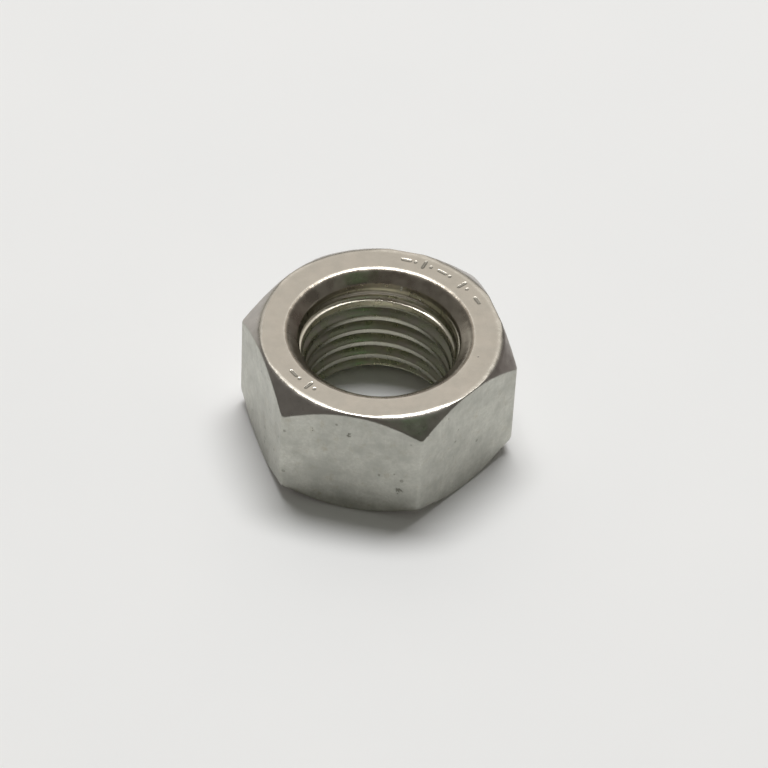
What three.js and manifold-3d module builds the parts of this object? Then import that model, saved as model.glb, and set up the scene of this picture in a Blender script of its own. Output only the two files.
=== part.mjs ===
// Hex nut, M27 x 3, right-hand thread, 41 mm across flats and 22 mm thick.
// The real nut is a single piece of stainless steel, so the group holds one mesh.
// Origin: centre of the lower bearing face. +Z runs along the thread, +X through a corner.

import * as THREE from 'three';
import { mergeVertices } from 'three/addons/utils/BufferGeometryUtils.js';
import Module from 'manifold-3d';

// Driving dimensions, in millimetres and degrees.
const ACROSS_FLATS = 41;
const THICKNESS = 22;
const CORNER_RADIUS = 0.8; // rounding of the six upright corners

const TOP_FACE_RADIUS = 20.0; // outer edge of the turned ring on the upper face
const TOP_CHAMFER_ANGLE = 42; // below the horizontal
const BOTTOM_FACE_RADIUS = 20.2;
const BOTTOM_CHAMFER_ANGLE = 35;

const THREAD_MAJOR_RADIUS = 13.5;
const THREAD_MINOR_RADIUS = 12.125;
const THREAD_PITCH = 3;
const FLANK_ANGLE = 30; // of each flank, from the plane across the thread
const ROOT_FLAT = THREAD_PITCH / 8;
const GROOVE_HEIGHT_AT_X = 2.16; // height of a groove's middle where the thread crosses +X

const MOUTH_RADIUS = 15.46; // upper countersink, where it meets the face
const MOUTH_THROAT_RADIUS = 13.6; // where the countersink gives way to the lead-in taper
const MOUTH_THROAT_DEPTH = 1.7;
const LEAD_IN_DEPTH = 8; // where the taper has run out to the minor radius
const BOTTOM_MOUTH_RADIUS = 14.5;
const BOTTOM_MOUTH_ANGLE = 45;

const SEGMENTS = 60; // steps around a full turn
const CORNER_STEPS = 4; // steps around one upright corner
const CORNERS = 6;
const OVERRUN = 1; // how far cutting solids stand clear of the faces they cut

const STEEL = { color: 0xb5b0a6, roughness: 0.38, metalness: 1.0 };

const wasm = await Module();
wasm.setup();

const tan = (degrees) => Math.tan(THREE.MathUtils.degToRad(degrees));

// A closed three.js geometry as a manifold solid.
function toSolid(geometry) {
  const bare = geometry.clone();
  bare.deleteAttribute('normal');
  bare.deleteAttribute('uv');
  const merged = mergeVertices(bare, 1e-5);
  return new wasm.Manifold(new wasm.Mesh({
    numProp: 3,
    vertProperties: new Float32Array(merged.attributes.position.array),
    triVerts: new Uint32Array(merged.index.array),
  }));
}

function toGeometry(solid) {
  const { vertProperties, triVerts } = solid.getMesh();
  const geometry = new THREE.BufferGeometry();
  geometry.setAttribute('position', new THREE.BufferAttribute(vertProperties, 3));
  geometry.setIndex(new THREE.BufferAttribute(triVerts, 1));
  geometry.computeVertexNormals();
  return geometry;
}

// A solid of revolution about Z from [radius, height] points, listed from the bottom up.
function turned(points) {
  const profile = points.map(([radius, height]) => new THREE.Vector2(radius, height));
  return toSolid(new THREE.LatheGeometry(profile, SEGMENTS).rotateX(Math.PI / 2));
}

// The forged bar: a hexagon with rounded corners, one of them on +X.
function hexagonalBar() {
  const outline = new THREE.Shape();
  const cornerCentre = (ACROSS_FLATS / 2 - CORNER_RADIUS) / Math.cos(Math.PI / CORNERS);
  for (let corner = 0; corner < CORNERS; corner += 1) {
    const angle = (corner * 2 * Math.PI) / CORNERS;
    outline.absarc(
      cornerCentre * Math.cos(angle),
      cornerCentre * Math.sin(angle),
      CORNER_RADIUS,
      angle - Math.PI / CORNERS,
      angle + Math.PI / CORNERS,
    );
  }
  outline.closePath();
  const settings = { depth: THICKNESS, bevelEnabled: false, curveSegments: CORNER_STEPS };
  return toSolid(new THREE.ExtrudeGeometry(outline, settings));
}

// What the chamfering tool leaves: a disc with a cone above and below.
function chamferEnvelope() {
  const reach = ACROSS_FLATS / 2 / Math.cos(Math.PI / CORNERS) + OVERRUN;
  const topDrop = (reach - TOP_FACE_RADIUS) * tan(TOP_CHAMFER_ANGLE);
  const bottomRise = (reach - BOTTOM_FACE_RADIUS) * tan(BOTTOM_CHAMFER_ANGLE);
  return turned([
    [0, 0],
    [BOTTOM_FACE_RADIUS, 0],
    [reach, bottomRise],
    [reach, THICKNESS - topDrop],
    [TOP_FACE_RADIUS, THICKNESS],
    [0, THICKNESS],
  ]);
}

// One pitch of the tap, as [radius, height above the groove's middle], from the bottom up.
function threadForm() {
  const rootHalf = ROOT_FLAT / 2;
  const mouthHalf = rootHalf + (THREAD_MAJOR_RADIUS - THREAD_MINOR_RADIUS) * tan(FLANK_ANGLE);
  return [
    [THREAD_MINOR_RADIUS, -mouthHalf],
    [THREAD_MAJOR_RADIUS, -rootHalf],
    [THREAD_MAJOR_RADIUS, rootHalf],
    [THREAD_MINOR_RADIUS, mouthHalf],
  ];
}

// The tap that cuts the bore: a core at the minor radius with the helical ridge on it.
// Its rows of points climb one pitch per turn, so after a full turn each row meets the
// row one pitch above it, and each end closes as a fan about a point on the axis.
function tap() {
  const form = threadForm();
  const rows = [];
  for (let height = GROOVE_HEIGHT_AT_X - 2 * THREAD_PITCH;
    height < THICKNESS + THREAD_PITCH;
    height += THREAD_PITCH) {
    form.forEach(([radius, offset]) => rows.push({ radius, height: height + offset }));
  }
  const positions = [];
  const pushPoint = (x, y, z) => positions.push(x, y, z) / 3 - 1;
  const column = (step, firstRow) => rows.slice(firstRow).map(({ radius, height }) => {
    const angle = (step * 2 * Math.PI) / SEGMENTS;
    const climb = (step * THREAD_PITCH) / SEGMENTS;
    return pushPoint(radius * Math.cos(angle), radius * Math.sin(angle), height + climb);
  });
  const columns = [];
  for (let step = 0; step < SEGMENTS; step += 1) columns.push(column(step, 0));
  const aboveSeam = column(SEGMENTS, rows.length - form.length);
  columns.push([...columns[0].slice(form.length), ...aboveSeam]);

  const triangles = [];
  for (let step = 0; step < SEGMENTS; step += 1) {
    for (let row = 0; row < rows.length - 1; row += 1) {
      const [a, b] = [columns[step][row], columns[step + 1][row]];
      const [c, d] = [columns[step + 1][row + 1], columns[step][row + 1]];
      triangles.push(a, b, c, a, c, d);
    }
  }
  const last = rows.length - 1;
  const bottomLoop = columns.map((points) => points[0]);
  bottomLoop.push(...columns[0].slice(1, form.length).reverse());
  const topLoop = columns.map((points) => points[last]);
  topLoop.push(...columns[SEGMENTS].slice(last - form.length + 1, last).reverse());
  const bottomCentre = pushPoint(0, 0, rows[0].height);
  const topCentre = pushPoint(0, 0, rows[last].height + THREAD_PITCH);
  bottomLoop.forEach((point, i) => {
    triangles.push(bottomCentre, bottomLoop[(i + 1) % bottomLoop.length], point);
  });
  topLoop.forEach((point, i) => {
    triangles.push(topCentre, point, topLoop[(i + 1) % topLoop.length]);
  });

  const geometry = new THREE.BufferGeometry();
  geometry.setAttribute('position', new THREE.Float32BufferAttribute(positions, 3));
  geometry.setIndex(triangles);
  return toSolid(geometry);
}

// The upper entry: a countersink, then a slow taper that thins the first thread crests.
function upperEntry() {
  const slope = (MOUTH_RADIUS - MOUTH_THROAT_RADIUS) / MOUTH_THROAT_DEPTH;
  return turned([
    [0, THICKNESS - LEAD_IN_DEPTH],
    [THREAD_MINOR_RADIUS, THICKNESS - LEAD_IN_DEPTH],
    [MOUTH_THROAT_RADIUS, THICKNESS - MOUTH_THROAT_DEPTH],
    [MOUTH_RADIUS + OVERRUN * slope, THICKNESS + OVERRUN],
    [0, THICKNESS + OVERRUN],
  ]);
}

// The lower entry: a plain countersink.
function lowerEntry() {
  const depth = (BOTTOM_MOUTH_RADIUS - THREAD_MINOR_RADIUS) / tan(BOTTOM_MOUTH_ANGLE);
  return turned([
    [0, -OVERRUN],
    [BOTTOM_MOUTH_RADIUS + OVERRUN * tan(BOTTOM_MOUTH_ANGLE), -OVERRUN],
    [THREAD_MINOR_RADIUS, depth],
    [0, depth],
  ]);
}

function nutBody() {
  const blank = hexagonalBar().intersect(chamferEnvelope());
  const threaded = blank.subtract(tap()).subtract(upperEntry()).subtract(lowerEntry());
  const mesh = new THREE.Mesh(toGeometry(threaded), new THREE.MeshStandardMaterial(STEEL));
  mesh.name = 'nut_body';
  return mesh;
}

const nut = new THREE.Group();
nut.name = 'hex_nut';
nut.add(nutBody());

export default nut;
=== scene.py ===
import math

import bpy
import numpy as np
from mathutils import Matrix, Vector


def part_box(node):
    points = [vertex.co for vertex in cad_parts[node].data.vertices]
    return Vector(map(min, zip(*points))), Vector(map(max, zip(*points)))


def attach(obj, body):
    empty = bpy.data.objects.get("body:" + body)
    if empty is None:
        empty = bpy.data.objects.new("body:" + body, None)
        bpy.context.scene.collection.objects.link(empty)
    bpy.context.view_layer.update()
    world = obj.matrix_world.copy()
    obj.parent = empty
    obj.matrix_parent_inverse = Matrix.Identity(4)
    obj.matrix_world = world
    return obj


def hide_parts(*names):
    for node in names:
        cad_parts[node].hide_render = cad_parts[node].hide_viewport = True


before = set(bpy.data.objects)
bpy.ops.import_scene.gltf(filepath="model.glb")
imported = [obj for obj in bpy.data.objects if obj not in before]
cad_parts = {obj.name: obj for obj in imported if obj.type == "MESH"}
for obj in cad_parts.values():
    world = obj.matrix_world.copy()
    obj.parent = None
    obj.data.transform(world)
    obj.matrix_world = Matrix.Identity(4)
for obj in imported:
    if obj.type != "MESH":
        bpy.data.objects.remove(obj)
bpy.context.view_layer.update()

# The nut is drawn in millimetres, as in the CAD model, and scaled to metres when its mesh is made.
MM = 0.001
LOW, HIGH = (np.array(corner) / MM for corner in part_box("nut_body"))

# Outer form
THICKNESS = HIGH[2] - LOW[2]
APOTHEM = (HIGH[1] - LOW[1]) / 2  # half the width across flats
CORNER_RADIUS = 1.0
TOP_FACE_RADIUS = 20.35  # where the face and the chamfer would meet in a sharp edge
TOP_FACE_OFFSET = 0.28  # the upper face was turned this far off centre
TOP_FACE_OFFSET_TOWARDS = math.radians(46)
TOP_CHAMFER = math.tan(math.radians(44))
BOTTOM_FACE_RADIUS = 20.2
BOTTOM_CHAMFER = math.tan(math.radians(35))

# Thread, as in the CAD model
MAJOR_RADIUS = 13.5
MINOR_RADIUS = 12.125
PITCH = 3.0
FLANK = math.tan(math.radians(30))
CREST_HEIGHT_AT_X = 3.66  # height of a crest's middle where the thread crosses +X
ROOT_HALF = PITCH / 16
CREST_HALF = PITCH / 2 - ROOT_HALF - (MAJOR_RADIUS - MINOR_RADIUS) * FLANK
CREST_ROUNDING = 0.18
ROOT_ROUNDING = 0.22
THREAD_START = (18.7, 19.6)  # full depth of groove below the first height, none above the second

# Entries
MOUTH_RADIUS = 15.46
THROAT_RADIUS = 13.6
THROAT_DEPTH = 1.7
LEAD_IN_DEPTH = 8.0
LEAD_IN_SLOPE = (THROAT_RADIUS - MINOR_RADIUS) / (LEAD_IN_DEPTH - THROAT_DEPTH)
BOTTOM_MOUTH_RADIUS = 14.5
BOTTOM_ENTRY_ROUNDING = 0.1
ENTRY_ROUNDING = 0.18  # where the entries cut the thread
EDGE_WOBBLE = 0.035  # unevenness of the turned edges
RIM_SEED, MOUTH_SEED, LEDGE_SEED = 3, 8, 5  # one pattern of unevenness for each edge
LEAST_CHAMFER = 0.16  # least width of the upper chamfer, where it is narrowest on the flats
LEVEL = 1e-6  # a point this close to the upper face lies on it
LARGEST_SETBACK = 0.48  # of the shorter side, so that two roundings never meet
WOBBLE_WAVES = (5, 11, 17, 29, 43, 61)  # in one turn
WOBBLE_SUM = 3.5  # what the waves seldom add up to

# The lead-in tool left a narrow ledge on top of the first crest that it cut.
LEDGE_WIDTH = 0.55
LEDGE_SWELL = 0.3  # how much wider it is at its widest
LEDGE_WIDEST_AT = math.radians(118)
LEDGE_WOBBLE = 0.1
LEDGE_FOOT = 0.39  # above the crest's middle
LEDGE_SLOPE = math.tan(math.radians(18.5))
LEDGE_FADES_UP = (1.1, 1.4)  # above the crest's middle
LEDGE_FADES_IN = (16.4, 16.8)
LEDGE_FADES_OUT = (19.2, 19.6)

# Columns of the mesh, in degrees
COLUMN_STEP = 1.0
MARKED_STEP = 0.45
MARKED_SPANS = ((30, 92), (224, 248))  # under the two groups of stamped marks
CORNER_COLUMNS = [-1.25, -0.95, -0.6, -0.3, 0, 0.3, 0.6, 0.95, 1.25]  # to each side of a corner
CLOSEST_COLUMNS = 0.22

# Mesh of the bore: rows that climb with the thread, a whole number of them to a pitch
BORE_TOP = THICKNESS - 2.3
BORE_BOTTOM = 0.85
CREST_ROWS = [0.28, 0.39, 0.44, 0.495, 0.545, 0.66, 0.92, 1.2, 1.36]  # above and below each crest
ROW_OFFSETS = sorted([0.0, PITCH / 2, *CREST_ROWS, *(PITCH - offset for offset in CREST_ROWS)])
ROWS_PER_PITCH = len(ROW_OFFSETS)
FIRST_TURN, END_TURN = -3, 9  # enough turns to reach past both ends
ROW_CLEARANCE = 0.04  # least height between a climbing row and the level rows at the ends


# ---------------------------------------------------------------- shape of the nut

def smooth_max(a, b, blend):
    """The larger of two lengths, with the corner between them rounded over the blend length."""
    share = np.clip(0.5 + 0.5 * (a - b) / blend, 0, 1)
    return b + (a - b) * share + blend * share * (1 - share)


def smooth_min(a, b, blend):
    return -smooth_max(-a, -b, blend)


def hexagon_radius(angle):
    """Distance from the axis to the rounded hexagon, which has a corner on +X."""
    from_corner = (angle + math.pi / 6) % (math.pi / 3) - math.pi / 6
    flat = APOTHEM / np.cos(math.pi / 6 - np.abs(from_corner))
    centre = (APOTHEM - CORNER_RADIUS) / math.cos(math.pi / 6)
    reach = centre + CORNER_RADIUS * math.cos(math.pi / 6)
    arc_half = math.atan2(CORNER_RADIUS / 2, reach)
    inside = np.maximum(CORNER_RADIUS**2 - (centre * np.sin(from_corner)) ** 2, 0)
    corner = centre * np.cos(from_corner) + np.sqrt(inside)
    return np.where(np.abs(from_corner) < arc_half, corner, flat)


def crest_height(angle):
    """Height of one thread crest at an angle: it climbs one pitch a turn, counter-clockwise."""
    return CREST_HEIGHT_AT_X + PITCH * angle / (2 * math.pi)


def smooth_step(value, start, end):
    share = np.clip((value - start) / (end - start), 0, 1)
    return share * share * (3 - 2 * share)


def lead_in_radius(height):
    return THROAT_RADIUS - (THICKNESS - THROAT_DEPTH - height) * LEAD_IN_SLOPE


def wobble(angle, seed):
    """Unevenness around the nut, mostly between -1 and 1: a few waves with seeded phases."""
    chance = np.random.default_rng(seed)
    total = np.zeros_like(angle)
    for waves in WOBBLE_WAVES:
        total = total + np.cos(waves * angle + chance.uniform(0, 2 * math.pi))
    return total / WOBBLE_SUM


def ledge_reach(angle, height, above_crest):
    """How far the ledge on the first crest stands back from the lead-in taper."""
    swell = LEDGE_SWELL * np.cos(angle - LEDGE_WIDEST_AT)
    unevenness = swell + LEDGE_WOBBLE * wobble(angle, LEDGE_SEED)
    reach = (above_crest - LEDGE_FOOT) / LEDGE_SLOPE
    reach = np.clip(reach, 0, LEDGE_WIDTH * (1 + unevenness))
    reach = reach * (1 - smooth_step(above_crest, *LEDGE_FADES_UP))
    return reach * smooth_step(height, *LEDGE_FADES_IN) * (1 - smooth_step(height, *LEDGE_FADES_OUT))


def bore_radius(angle, height):
    """Thread, cut away by the entries at both ends."""
    above_crest = (height - crest_height(angle) + PITCH / 2) % PITCH - PITCH / 2
    flank = MINOR_RADIUS + (np.abs(above_crest) - CREST_HALF) / FLANK
    thread = smooth_max(np.full_like(flank, MINOR_RADIUS), flank, CREST_ROUNDING / FLANK)
    thread = smooth_min(thread, np.full_like(flank, MAJOR_RADIUS), ROOT_ROUNDING / FLANK)
    thread = thread - (MAJOR_RADIUS - MINOR_RADIUS) * smooth_step(height, *THREAD_START)
    top_entry = lead_in_radius(height) + ledge_reach(angle, height, above_crest)
    bottom_entry = BOTTOM_MOUTH_RADIUS - height
    entries = smooth_max(top_entry, bottom_entry, BOTTOM_ENTRY_ROUNDING)
    return smooth_max(thread, entries, ENTRY_ROUNDING)


def column_angles():
    """Angles of the mesh's columns: close together at the corners and under the stamped marks."""
    plain = np.arange(0, 360, COLUMN_STEP)
    marked = [np.arange(start, end, MARKED_STEP) for start, end in MARKED_SPANS]
    corners = [np.array(CORNER_COLUMNS) + corner for corner in range(0, 360, 60)]
    angles = np.sort(np.radians(np.concatenate([plain, *marked, *corners])) % (2 * math.pi))
    kept = [angles[0]]
    for angle in angles[1:]:
        if angle - kept[-1] > math.radians(CLOSEST_COLUMNS):
            kept.append(angle)
    return np.array(kept)


def rounded_path(corners):
    """Rows of points along a path through corners, each inner corner rounded.

    A corner is (radius, height, rounding, rows in the rounding, rows on the way to the next corner),
    where radius and height may differ from column to column.
    """
    points = [np.stack(np.broadcast_arrays(*corner[:2]), axis=-1).astype(float) for corner in corners]
    rows = [points[0]]
    for i in range(1, len(corners)):
        corner, rounding, bend_rows = points[i], *corners[i][2:4]
        if i == len(corners) - 1:
            bend = [corner]
        else:
            back, ahead = points[i - 1] - corner, points[i + 1] - corner
            back_length = np.linalg.norm(back, axis=-1, keepdims=True)
            ahead_length = np.linalg.norm(ahead, axis=-1, keepdims=True)
            back, ahead = back / back_length, ahead / ahead_length
            half = np.arccos(np.clip((back * ahead).sum(-1, keepdims=True), -1, 1)) / 2
            room = LARGEST_SETBACK * np.minimum(back_length, ahead_length)
            setback = np.minimum(rounding / np.tan(half), room)
            first, last = corner + back * setback, corner + ahead * setback
            bend = [
                first * (1 - t) ** 2 + 2 * corner * t * (1 - t) + last * t**2
                for t in np.linspace(0, 1, bend_rows)
            ]
        start, steps = rows[-1], corners[i - 1][4]
        rows.extend(start + (bend[0] - start) * step / steps for step in range(1, steps))
        rows.extend(bend)
    return rows


STAMPS = [  # separate dashes and dots on the upper face: (angle, radius, turn from radial, length)
    (88.0, 18.3, 90, 1.4),
    (83.0, 18.3, 0, 0.1),
    (78.0, 18.3, 0, 1.5),
    (74.0, 18.3, 0, 0.1),
    (67.0, 18.3, 90, 1.4),
    (62.0, 18.3, 0, 0.1),
    (53.0, 18.3, 0, 1.5),
    (49.0, 18.3, 0, 0.1),
    (39.0, 18.3, 90, 1.4),
    (229.0, 17.6, 90, 1.4),
    (234.0, 17.6, 0, 0.1),
    (241.0, 17.6, 0, 1.4),
    (245.0, 17.6, 0, 0.1),
]
STAMP_DEPTH = 0.12
STAMP_HALF_WIDTH = 0.22


def stamp_depth(x, y):
    """How far the stamped strokes push the upper face down."""
    pushed = np.zeros_like(x)
    for angle, radius, turn, length in STAMPS:
        angle = math.radians(angle)
        along = angle + math.radians(turn)
        dx, dy = x - radius * math.cos(angle), y - radius * math.sin(angle)
        forward = dx * math.cos(along) + dy * math.sin(along)
        across = -dx * math.sin(along) + dy * math.cos(along)
        beyond = np.maximum(np.abs(forward) - length / 2, 0)
        distance = np.hypot(beyond, across) / STAMP_HALF_WIDTH
        pushed = np.maximum(pushed, np.exp(-distance**4))
    return pushed * STAMP_DEPTH


def outer_rows(angles):
    """Rows from low in the bore, out under the nut, up its side and back in over the top."""
    side = hexagon_radius(angles)
    around = np.ones_like(angles)
    rim = TOP_FACE_RADIUS + TOP_FACE_OFFSET * np.cos(angles - TOP_FACE_OFFSET_TOWARDS)
    rim = np.minimum(rim + EDGE_WOBBLE * wobble(angles, RIM_SEED), side - LEAST_CHAMFER)
    mouth = MOUTH_RADIUS + EDGE_WOBBLE * wobble(angles, MOUTH_SEED)
    bottom_chamfer = (side - BOTTOM_FACE_RADIUS) * BOTTOM_CHAMFER
    top_chamfer = (side - rim) * TOP_CHAMFER
    return rounded_path([
        # radius, height, rounding, rows in the rounding, rows on the way to the next corner
        (BOTTOM_MOUTH_RADIUS - BORE_BOTTOM * around, BORE_BOTTOM, 0, 0, 2),
        (BOTTOM_MOUTH_RADIUS * around, 0.0, 0.3, 4, 3),
        (BOTTOM_FACE_RADIUS * around, 0.0, 0.5, 4, 3),
        (side, bottom_chamfer, 2.5, 6, 6),
        (side, THICKNESS - top_chamfer, 0.4, 5, 3),
        (rim, THICKNESS, 1.8, 6, 20),
        (mouth, THICKNESS, 1.6, 6, 3),
        (THROAT_RADIUS * around, THICKNESS - THROAT_DEPTH, 0.8, 5, 2),
        (lead_in_radius(BORE_TOP) * around, BORE_TOP, 0, 0, 0),
    ])


ZONE_SIDE, ZONE_FACE, ZONE_CHAMFER, ZONE_THREAD = range(4)  # in the order of the materials
MOUTH_EDGE = 0.3  # how far the finish of the bore reaches outside its mouth
FACE_EDGE = 0.15  # how far from the level of either face its finish reaches
TOP_CHAMFER_EDGE, BOTTOM_CHAMFER_EDGE = 1.1, 0.9


def zone_of(radius, height):
    """Which finish a place on the outer rows has."""
    from_top = THICKNESS - height
    if radius < MOUTH_RADIUS + MOUTH_EDGE:
        return ZONE_THREAD
    if from_top < FACE_EDGE or height < FACE_EDGE:
        return ZONE_FACE
    if from_top < TOP_CHAMFER_EDGE or height < BOTTOM_CHAMFER_EDGE:
        return ZONE_CHAMFER
    return ZONE_SIDE


def bore_columns(angles):
    """The climbing rows' points: for each column, {row number: (x, y, height)} from the bottom up."""
    numbers = np.arange(FIRST_TURN * ROWS_PER_PITCH, END_TURN * ROWS_PER_PITCH)
    turns, places = np.divmod(numbers, ROWS_PER_PITCH)
    columns = []
    for angle in angles:
        heights = crest_height(angle) + turns * PITCH + np.array(ROW_OFFSETS)[places]
        inside = (heights > BORE_BOTTOM + ROW_CLEARANCE) & (heights < BORE_TOP - ROW_CLEARANCE)
        radii = bore_radius(np.full_like(heights, angle), heights)
        points = np.stack([radii * math.cos(angle), radii * math.sin(angle), heights], axis=-1)
        columns.append(dict(zip(numbers[inside].tolist(), points[inside])))
    return columns


def build_nut_mesh():
    """The whole nut as one closed mesh: level rows outside, climbing rows in the bore."""
    angles = column_angles()
    count = len(angles)
    faces, zones = [], []

    rows = outer_rows(angles)
    levels = []
    for row in rows:
        radius, height = row.T
        x, y = radius * np.cos(angles), radius * np.sin(angles)
        on_top = height > THICKNESS - LEVEL
        levels.append(np.stack([x, y, np.where(on_top, height - stamp_depth(x, y), height)], axis=-1))
    for lower in range(len(rows) - 1):
        zone = zone_of(*(rows[lower].mean(0) + rows[lower + 1].mean(0)) / 2)
        for column in range(count):
            beside = (column + 1) % count
            a, b = lower * count + column, lower * count + beside
            faces.append((a, b, b + count, a + count))
            zones.append(zone)

    # Past the last column the same points carry on, numbered one pitch higher.
    total = len(rows) * count
    bore, numbered = [], []
    for column in bore_columns(angles):
        bore.extend(column.values())
        numbered.append(dict(zip(column, range(total, total + len(column)))))
        total += len(column)
    top = (len(rows) - 1) * count
    for column in range(count):
        beside = (column + 1) % count
        shift = ROWS_PER_PITCH if beside == 0 else 0
        left = numbered[column]
        right = {number - shift: index for number, index in numbered[beside].items()}
        first, last = max(min(left), min(right)), min(max(left), max(right))
        for number in range(first, last):
            faces.append((left[number], left[number + 1], right[number + 1], right[number]))
        low_left = [left[number] for number in range(min(left), first + 1)]
        low_right = [right[number] for number in range(first, min(right) - 1, -1)]
        high_left = [left[number] for number in range(last, max(left) + 1)]
        high_right = [right[number] for number in range(max(right), last - 1, -1)]
        faces.append((column, *low_left, *low_right, beside))
        faces.append((*high_left, top + column, top + beside, *high_right))
        zones.extend([ZONE_THREAD] * (last - first + 2))

    mesh = bpy.data.meshes.new("steel_nut")
    mesh.from_pydata((np.concatenate([*levels, np.array(bore)]) * MM).tolist(), [], faces)
    mesh.polygons.foreach_set("material_index", zones)
    mesh.polygons.foreach_set("use_smooth", [True] * len(faces))
    mesh.update()
    return mesh


# ---------------------------------------------------------------- materials

class Nodes:
    """A small helper that adds shader nodes and links them."""

    def __init__(self, tree):
        self.tree = tree

    def add(self, kind, inputs=None, **settings):
        node = self.tree.nodes.new(kind)
        for name, value in settings.items():
            setattr(node, name, value)
        for name, value in (inputs or {}).items():
            if isinstance(value, bpy.types.NodeSocket):
                self.tree.links.new(value, node.inputs[name])
            else:
                node.inputs[name].default_value = value
        return node


def new_material(name):
    material = bpy.data.materials.new(name)
    material.use_nodes = True
    tree = material.node_tree
    return material, Nodes(tree), tree.nodes["Principled BSDF"]


def noise(nodes, place, size_mm, detail=3.0, roughness=0.55):
    return nodes.add(
        "ShaderNodeTexNoise",
        {"Vector": place, "Scale": 1 / (size_mm * MM), "Detail": detail, "Roughness": roughness},
    ).outputs["Fac"]


def between(nodes, value, low, high, out_low, out_high, smooth=False):
    return nodes.add(
        "ShaderNodeMapRange",
        {"Value": value, "From Min": low, "From Max": high, "To Min": out_low, "To Max": out_high},
        interpolation_type="SMOOTHSTEP" if smooth else "LINEAR",
    ).outputs["Result"]


def rising(nodes, length, span, smooth=True):
    """0 below the first of two lengths in millimetres, 1 above the second."""
    return between(nodes, length, span[0] * MM, span[1] * MM, 0.0, 1.0, smooth)


def falling(nodes, length, span, smooth=True):
    """1 below the first of two lengths in millimetres, 0 above the second."""
    return between(nodes, length, span[0] * MM, span[1] * MM, 1.0, 0.0, smooth)


def mixed(nodes, share, first, second):
    mix = nodes.add("ShaderNodeMix", data_type="RGBA")
    for socket, value in ((0, share), (6, first), (7, second)):
        if isinstance(value, bpy.types.NodeSocket):
            nodes.tree.links.new(value, mix.inputs[socket])
        else:
            mix.inputs[socket].default_value = value
    return mix.outputs[2]


def maths(nodes, operation, first, second):
    return nodes.add("ShaderNodeMath", {0: first, 1: second}, operation=operation).outputs[0]


def times(nodes, first, second):
    return maths(nodes, "MULTIPLY", first, second)


def stretched(nodes, place, level, upright):
    """Coordinates for streaks: a pattern is drawn out where its scale is below 1."""
    scale = (level, level, upright)
    return nodes.add("ShaderNodeMapping", {"Vector": place, "Scale": scale}).outputs["Vector"]


def distance_from_axis(nodes, place):
    flat = nodes.add("ShaderNodeVectorMath", {0: place, 1: (1, 1, 0)}, operation="MULTIPLY")
    length = nodes.add("ShaderNodeVectorMath", {0: flat.outputs[0]}, operation="LENGTH")
    return length.outputs["Value"]


def pits(nodes, place, spacing_mm, largest_mm, common):
    """Scattered round pits, 1 inside and 0 outside; common is the share of cells that have one."""
    cells = nodes.add(
        "ShaderNodeTexVoronoi", {"Vector": place, "Scale": 1 / (spacing_mm * MM), "Randomness": 1.0}
    )
    chance = nodes.add("ShaderNodeSeparateColor", {"Color": cells.outputs["Color"]}).outputs[0]
    radius = between(nodes, chance, 1 - common, 1.0, 0.0, largest_mm / spacing_mm)
    depth = maths(nodes, "SUBTRACT", radius, cells.outputs["Distance"])
    return between(nodes, depth, 0.0, 0.3 * largest_mm / spacing_mm, 0.0, 1.0, smooth=True)


# Colours of the steel
FLAT_DARK, FLAT_LIGHT = (0.440, 0.440, 0.397, 1), (0.600, 0.597, 0.540, 1)
FLAT_GRAIN, FLAT_STREAK = (0.42, 0.42, 0.375, 1), (0.64, 0.64, 0.585, 1)
FLAT_STAIN, FLAT_SPOT = (0.42, 0.395, 0.32, 1), (0.15, 0.15, 0.12, 1)
FACE_LIGHT, FACE_DARK = (0.595, 0.56, 0.50, 1), (0.545, 0.52, 0.465, 1)
CHAMFER_LIGHT, CHAMFER_DARK = (0.50, 0.465, 0.43, 1), (0.43, 0.40, 0.37, 1)
# The second colour here is painted shade for the stamped marks.
NICK_COLOUR, STAMP_SHADE_COLOUR = (0.20, 0.19, 0.16, 1), (0.13, 0.12, 0.10, 1)
FILM_OLIVE, FILM_GREY, CREST_GREY = (0.41, 0.43, 0.31, 1), (0.45, 0.43, 0.37, 1), (0.43, 0.42, 0.35, 1)
ENTRY_DARK, ENTRY_LIGHT = (0.36, 0.32, 0.27, 1), (0.44, 0.40, 0.34, 1)
# The first colour here is a painted highlight on the first crest.
FIRST_CREST_HIGHLIGHT, FLECK_GLINT_COLOUR = (0.92, 0.87, 0.74, 1), (0.75, 0.74, 0.70, 1)

BLEMISHES = [  # larger spots on the flats: (x, y, z, radius)
    (-6.65, -20.5, 17.3, 0.30),
    (-0.43, -20.5, 17.5, 0.42),
    (8.3, -20.5, 6.8, 0.75),
    (-16.3, -12.8, 7.5, 0.40),
    (16.4, -12.5, 15.1, 0.30),
]
RAGGED_SIZE, RAGGED_REACH = 0.7, 2.2  # of the noise that pulls their edges about


def blemish_mask(nodes, place):
    """The larger spots, with ragged edges."""
    scale = 1 / (RAGGED_SIZE * MM)
    wander = nodes.add("ShaderNodeTexNoise", {"Vector": place, "Scale": scale, "Detail": 3.0})
    middle = (0.5, 0.5, 0.5)
    centred = nodes.add(
        "ShaderNodeVectorMath", {0: wander.outputs["Color"], 1: middle}, operation="SUBTRACT"
    )
    moved = nodes.add("ShaderNodeVectorMath", {0: centred.outputs[0]}, operation="SCALE")
    moved.inputs["Scale"].default_value = RAGGED_REACH * MM
    ragged = nodes.add("ShaderNodeVectorMath", {0: place, 1: moved.outputs[0]}, operation="ADD")
    total = None
    for x, y, z, radius in BLEMISHES:
        away = nodes.add(
            "ShaderNodeVectorMath",
            {0: ragged.outputs[0], 1: (x * MM, y * MM, z * MM)},
            operation="DISTANCE",
        ).outputs["Value"]
        spot = falling(nodes, away, (0.5 * radius, radius))
        total = spot if total is None else maths(nodes, "MAXIMUM", total, spot)
    return total


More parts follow.
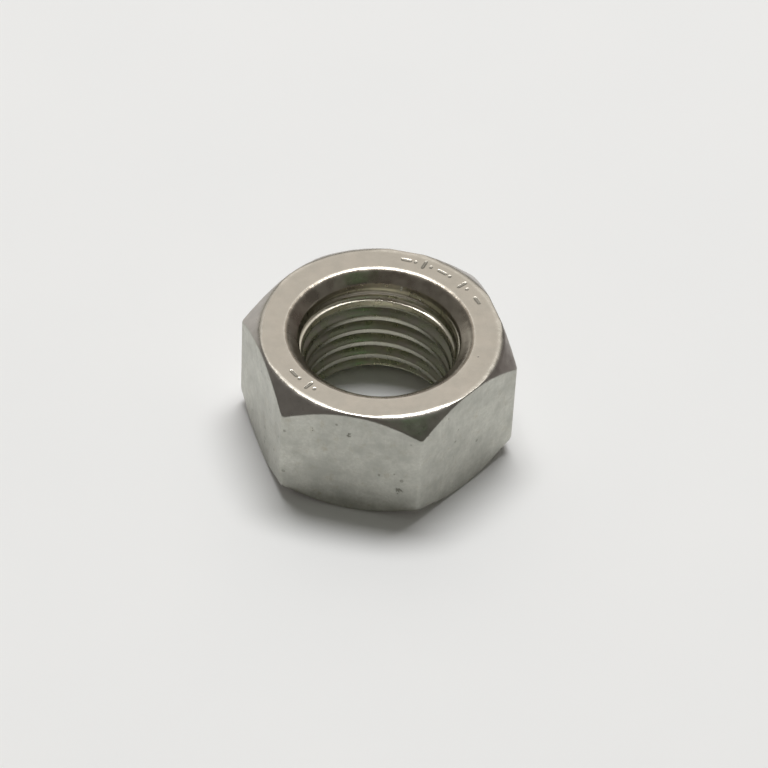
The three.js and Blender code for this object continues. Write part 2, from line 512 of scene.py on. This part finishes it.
def finish_material(nodes, shader, colour, roughness, height_mm):
    """Joins colour, roughness and a height in millimetres to the metal shader."""
    nodes.tree.links.new(colour, shader.inputs["Base Color"])
    nodes.tree.links.new(roughness, shader.inputs["Roughness"])
    bump = nodes.add("ShaderNodeBump", {"Height": height_mm, "Distance": MM, "Strength": 1.0})
    nodes.tree.links.new(bump.outputs["Normal"], shader.inputs["Normal"])
    shader.inputs["Metallic"].default_value = 1.0


def tumbled_steel():
    """The flats: satin, slightly stained, with pits and faint upright streaks."""
    material, nodes, shader = new_material("tumbled_steel")
    place = nodes.add("ShaderNodeTexCoord").outputs["Object"]
    clouds = between(nodes, noise(nodes, place, 3.6, 6.0, 0.68), 0.36, 0.64, 0.0, 1.0)
    grain = noise(nodes, place, 0.5, 4.0, 0.7)
    streaks = noise(nodes, stretched(nodes, place, 1.0, 0.1), 0.6, 3.0)
    stains = between(nodes, noise(nodes, place, 1.9, 6.0, 0.72), 0.54, 0.70, 0.0, 0.6, smooth=True)
    small_pits = times(nodes, pits(nodes, place, 1.25, 0.42, 0.2), 0.6)
    dark_spots = maths(nodes, "MAXIMUM", small_pits, blemish_mask(nodes, place))

    colour = mixed(nodes, clouds, FLAT_DARK, FLAT_LIGHT)
    colour = mixed(nodes, between(nodes, grain, 0.35, 0.65, 0.0, 0.5), colour, FLAT_GRAIN)
    colour = mixed(nodes, between(nodes, streaks, 0.55, 0.75, 0.0, 0.22), colour, FLAT_STREAK)
    colour = mixed(nodes, stains, colour, FLAT_STAIN)
    colour = mixed(nodes, times(nodes, dark_spots, 0.75), colour, FLAT_SPOT)
    roughness = between(nodes, noise(nodes, place, 1.4, 5.0), 0.3, 0.7, 0.37, 0.49)

    height = maths(nodes, "ADD", times(nodes, grain, 0.016), times(nodes, clouds, 0.030))
    height = maths(nodes, "ADD", height, times(nodes, streaks, 0.004))
    height = maths(nodes, "SUBTRACT", height, times(nodes, dark_spots, 0.05))
    finish_material(nodes, shader, colour, roughness, height)
    return material


OUTER_EDGE = (TOP_FACE_RADIUS - 0.9, TOP_FACE_RADIUS - 0.4)  # where each edge's finish fades
INNER_EDGE = (MOUTH_RADIUS + 0.3, MOUTH_RADIUS + 0.8)
STAMP_SHADE_LEVELS = (THICKNESS - 0.025, THICKNESS - 0.003)  # painted shade fills the marks up to these heights
CHATTER_SIZE, CHATTER_HEIGHT = 0.8, 0.030  # ripple that the tools left on the edges


def turned_steel(name, light, dark, rough, nick_share, shaded_stamps=False):
    """A face or chamfer cut on a lathe: fine rings, faint clouding and a few nicks."""
    material, nodes, shader = new_material(name)
    place = nodes.add("ShaderNodeTexCoord").outputs["Object"]
    radius = distance_from_axis(nodes, place)
    rings = nodes.add(
        "ShaderNodeTexNoise",
        {"W": radius, "Scale": 1 / (0.16 * MM), "Detail": 2.0, "Roughness": 0.5},
        noise_dimensions="1D",
    ).outputs["Fac"]
    clouds = between(nodes, noise(nodes, place, 3.0, 5.0, 0.6), 0.36, 0.64, 0.0, 1.0)
    grain = noise(nodes, place, 0.35, 3.0)
    nicks = pits(nodes, place, 1.9, 0.22, nick_share)
    outside = rising(nodes, radius, OUTER_EDGE, smooth=False)
    inside = falling(nodes, radius, INNER_EDGE, smooth=False)
    edges = maths(nodes, "MAXIMUM", outside, inside)

    colour = mixed(nodes, clouds, dark, light)
    colour = mixed(nodes, times(nodes, nicks, 0.6), colour, NICK_COLOUR)
    roughness = between(nodes, noise(nodes, place, 1.2, 5.0), 0.3, 0.7, *rough)
    roughness = maths(nodes, "ADD", roughness, times(nodes, edges, 0.10))
    # Painted shade: the stamped marks are coloured dark and made rougher, up to levels just below the
    # face.
    if shaded_stamps:
        height_up = nodes.add("ShaderNodeSeparateXYZ", {0: place}).outputs["Z"]
        clear_of_edges = maths(nodes, "SUBTRACT", 1.0, edges)
        stamp_shade = times(nodes, falling(nodes, height_up, STAMP_SHADE_LEVELS), clear_of_edges)
        colour = mixed(nodes, times(nodes, stamp_shade, 0.8), colour, STAMP_SHADE_COLOUR)
        roughness = maths(nodes, "ADD", roughness, times(nodes, stamp_shade, 0.40))

    chatter = times(nodes, noise(nodes, place, CHATTER_SIZE, 1.0), times(nodes, edges, CHATTER_HEIGHT))
    height = maths(nodes, "ADD", chatter, times(nodes, rings, 0.0008))
    height = maths(nodes, "ADD", height, times(nodes, grain, 0.0012))
    height = maths(nodes, "SUBTRACT", height, times(nodes, nicks, 0.03))
    finish_material(nodes, shader, colour, roughness, height)
    return material


def height_above_crest(nodes, place):
    """Height above or below the middle of the nearest thread crest, in metres."""
    axes = nodes.add("ShaderNodeSeparateXYZ", {0: place}).outputs
    angle = maths(nodes, "ARCTAN2", axes["Y"], axes["X"])
    climbed = times(nodes, angle, PITCH * MM / (2 * math.pi))
    above_one = maths(nodes, "SUBTRACT", axes["Z"], maths(nodes, "ADD", climbed, CREST_HEIGHT_AT_X * MM))
    half = PITCH * MM / 2
    return nodes.add("ShaderNodeMath", {0: above_one, 1: half, 2: -half}, operation="WRAP").outputs[0]


ON_CREST_FROM, ON_CREST_TO = (-0.62, -0.36), (0.30, 0.52)  # above and below the crest's middle
ON_LEDGE_TO = (0.62, 0.80)
CREST_HIGHLIGHT_FROM = (15.7, 16.3)  # height at which the painted highlight on the first crest starts
ENTRY_FROM = (17.2, 18.2)  # height at which the olive film gives way to brown
FLECKS_FROM, FLECKS_TO = (18.6, 18.9), (20.0, 20.4)
RIM_FROM = (THICKNESS - 1.0, THICKNESS - 0.5)


def thread_steel():
    """The tapped bore: a painted highlight on the first crest, olive-grey film in the grooves and a
    browner entry.
    """
    material, nodes, shader = new_material("thread_steel")
    place = nodes.add("ShaderNodeTexCoord").outputs["Object"]
    height_up = nodes.add("ShaderNodeSeparateXYZ", {0: place}).outputs["Z"]
    above_crest = height_above_crest(nodes, place)
    streaks = noise(nodes, stretched(nodes, place, 0.12, 1.0), 0.3, 2.0)
    clouds = between(nodes, noise(nodes, place, 2.4, 3.0, 0.5), 0.38, 0.62, 0.0, 1.0)

    from_below = rising(nodes, above_crest, ON_CREST_FROM)
    on_crest = times(nodes, from_below, falling(nodes, above_crest, ON_CREST_TO))
    on_ledge = times(nodes, from_below, falling(nodes, above_crest, ON_LEDGE_TO))
    # Painted highlight: the first turn's crest and ledge are coloured near white, standing in for the
    # lamp's glint.
    first_turn = times(
        nodes, rising(nodes, height_up, CREST_HIGHLIGHT_FROM), falling(nodes, height_up, LEDGE_FADES_OUT)
    )
    first_crest_highlight = times(nodes, on_ledge, first_turn)
    torn = times(
        nodes,
        rising(nodes, height_up, FLECKS_FROM, smooth=False),
        falling(nodes, height_up, FLECKS_TO, smooth=False),
    )
    # Raised flecks in the torn entry; their light colour is a painted glint.
    flecks_and_glints = times(nodes, pits(nodes, place, 0.9, 0.30, 0.30), torn)

    film = mixed(nodes, clouds, FILM_OLIVE, FILM_GREY)
    entry_film = mixed(nodes, clouds, ENTRY_DARK, ENTRY_LIGHT)
    colour = mixed(nodes, on_crest, film, CREST_GREY)
    colour = mixed(nodes, rising(nodes, height_up, ENTRY_FROM), colour, entry_film)
    colour = mixed(nodes, first_crest_highlight, colour, FIRST_CREST_HIGHLIGHT)
    colour = mixed(nodes, times(nodes, flecks_and_glints, 0.7), colour, FLECK_GLINT_COLOUR)
    roughness = between(nodes, clouds, 0.0, 1.0, 0.26, 0.32)

    rim = rising(nodes, height_up, RIM_FROM, smooth=False)
    chatter = times(nodes, noise(nodes, place, CHATTER_SIZE, 1.0), times(nodes, rim, CHATTER_HEIGHT))
    height = maths(nodes, "ADD", chatter, times(nodes, flecks_and_glints, 0.10))
    height = maths(nodes, "ADD", height, times(nodes, streaks, 0.001))
    finish_material(nodes, shader, colour, roughness, height)
    return material


# ---------------------------------------------------------------- stage, light and camera

FLOOR_HALF = 2.0  # metres
FLOOR_DARK, FLOOR_LIGHT = (0.84, 0.845, 0.85, 1), (0.87, 0.87, 0.87, 1)


def build_floor():
    mesh = bpy.data.meshes.new("floor")
    corners = [(x * FLOOR_HALF, y * FLOOR_HALF, 0) for x, y in ((-1, -1), (1, -1), (1, 1), (-1, 1))]
    mesh.from_pydata(corners, [], [(0, 1, 2, 3)])
    floor = bpy.data.objects.new("floor", mesh)
    bpy.context.scene.collection.objects.link(floor)
    material, nodes, shader = new_material("pale_table")
    place = nodes.add("ShaderNodeTexCoord").outputs["Object"]
    colour = mixed(nodes, noise(nodes, place, 40.0), FLOOR_DARK, FLOOR_LIGHT)
    nodes.tree.links.new(colour, shader.inputs["Base Color"])
    shader.inputs["Roughness"].default_value = 0.6
    shader.inputs["Specular IOR Level"].default_value = 0.3
    mesh.materials.append(material)


AZIMUTH = math.radians(10.48)
ELEVATION = math.radians(44.5)
DISTANCE = 15.827  # widths across flats
PAN, TILT, ROLL = 0.00182, -0.0013, 0.05101  # radians
LENS_IN_FRAMES = 5.0118  # focal length over the frame's side


def toward_camera(elevation, azimuth=AZIMUTH):
    flat = math.cos(elevation)
    return Vector((math.sin(azimuth) * flat, -math.cos(azimuth) * flat, math.sin(elevation)))


def build_camera():
    back = toward_camera(ELEVATION)
    centre = Vector((0, 0, THICKNESS / 2 * MM))
    forward = -back
    right = forward.cross(Vector((0, 0, 1))).normalized()
    up = right.cross(forward)
    aimed = forward * math.cos(PAN) + right * math.sin(PAN)
    right = right * math.cos(PAN) - forward * math.sin(PAN)
    forward = aimed * math.cos(TILT) + up * math.sin(TILT)
    up = up * math.cos(TILT) - aimed * math.sin(TILT)
    rolled_right = right * math.cos(ROLL) + up * math.sin(ROLL)
    rolled_up = up * math.cos(ROLL) - right * math.sin(ROLL)
    data = bpy.data.cameras.new("camera")
    data.lens = data.sensor_width * LENS_IN_FRAMES
    camera = bpy.data.objects.new("camera", data)
    turn = Matrix((rolled_right, rolled_up, -forward)).transposed()
    place = centre + back * (DISTANCE * 2 * APOTHEM * MM)
    camera.matrix_world = Matrix.Translation(place) @ turn.to_4x4()
    data.clip_start, data.clip_end = 0.05, 10
    bpy.context.scene.collection.objects.link(camera)
    bpy.context.scene.camera = camera


def glow(nodes, way, colour, toward, full, none, below):
    """Adds a round patch of light to the colour below: full within one angle, none beyond another."""
    along = nodes.add("ShaderNodeVectorMath", {0: way, 1: tuple(toward)}, operation="DOT_PRODUCT")
    inner, outer = math.cos(math.radians(full)), math.cos(math.radians(none))
    share = between(nodes, along.outputs["Value"], outer, inner, 0.0, 1.0, smooth=True)
    return mixed(nodes, share, below, (*colour, 1))


ROOM_PATCHES = [  # (turn from the camera's side, elevation, full within, none beyond, colour)
    (180, 46, 12, 34, (0.78, 0.74, 0.69)),
    (0, 45, 16, 42, (0.12, 0.11, 0.10)),
    (100, 3, 12, 24, (0.75, 0.75, 0.71)),
    (-140, 3, 12, 24, (0.75, 0.75, 0.71)),
    (-75, 34, 10, 30, (0.155, 0.150, 0.140)),
    (88, 29, 8, 24, (0.12, 0.115, 0.105)),
    (121, 13, 10, 24, (0.16, 0.14, 0.13)),
    (38, 40, 7, 19, (0.06, 0.056, 0.05)),
    (38, 55, 4, 12, (0.17, 0.30, 0.15)),
]
DIM_ROOM = (0.20, 0.195, 0.18, 1)
PALE_HORIZON = (0.80, 0.80, 0.80, 1)
HORIZON_TOP, HORIZON_END = math.radians(2), math.radians(5)  # pale up to one, gone by the other


def build_world():
    """A dim room with a pale ceiling behind the nut and a pale horizon."""
    world = bpy.data.worlds.new("room")
    world.use_nodes = True
    bpy.context.scene.world = world
    nodes = Nodes(world.node_tree)
    way = nodes.add("ShaderNodeTexCoord").outputs["Generated"]
    colour = DIM_ROOM
    for turn, elevation, full, none, patch in ROOM_PATCHES:
        toward = toward_camera(math.radians(elevation), AZIMUTH + math.radians(turn))
        colour = glow(nodes, way, patch, toward, full, none, colour)
    height = nodes.add("ShaderNodeSeparateXYZ", {0: way}).outputs["Z"]
    low = between(nodes, height, math.sin(HORIZON_TOP), math.sin(HORIZON_END), 1.0, 0.0, smooth=True)
    colour = mixed(nodes, low, colour, PALE_HORIZON)
    nodes.tree.links.new(colour, world.node_tree.nodes["Background"].inputs["Color"])


LAMP_TURN = math.radians(4)  # how far the lamp stands to the right of straight behind the nut
LAMP_ZENITH = math.radians(16.5)
LAMP_HALF_WIDTH = math.radians(20)  # as seen from the nut
LAMP_HALF_DEPTH = math.radians(9.5)
LAMP_RADIANCE = 12.5
LAMP_DISTANCE = 2.5


def build_lamp():
    """A wide soft lamp overhead, a little behind the nut."""
    place = toward_camera(math.pi / 2 - LAMP_ZENITH, AZIMUTH + math.pi - LAMP_TURN) * LAMP_DISTANCE
    half_width = LAMP_DISTANCE * math.tan(LAMP_HALF_WIDTH)
    half_depth = LAMP_DISTANCE * math.tan(LAMP_HALF_DEPTH)
    data = bpy.data.lights.new("ceiling_lamp", "AREA")
    data.shape = "ELLIPSE"
    data.size, data.size_y = 2 * half_width, 2 * half_depth
    data.energy = LAMP_RADIANCE * math.pi * math.pi * half_width * half_depth
    lamp = bpy.data.objects.new("ceiling_lamp", data)
    side = Vector((math.cos(AZIMUTH), math.sin(AZIMUTH), 0))
    back = place.normalized()
    turn = Matrix((side, back.cross(side), back)).transposed()
    lamp.matrix_world = Matrix.Translation(place) @ turn.to_4x4()
    bpy.context.scene.collection.objects.link(lamp)


def main():
    build_camera()
    build_floor()
    build_world()
    build_lamp()

    nut = bpy.data.objects.new("steel_nut", build_nut_mesh())
    bpy.context.scene.collection.objects.link(nut)
    for material in (
        tumbled_steel(),
        turned_steel("turned_face_steel", FACE_LIGHT, FACE_DARK, (0.15, 0.20), 0.05, shaded_stamps=True),
        turned_steel("chamfer_steel", CHAMFER_LIGHT, CHAMFER_DARK, (0.17, 0.24), 0.08),
        thread_steel(),
    ):
        nut.data.materials.append(material)
    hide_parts("nut_body")
    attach(nut, "root")

    bpy.context.scene.view_settings.view_transform = "Standard"


main()
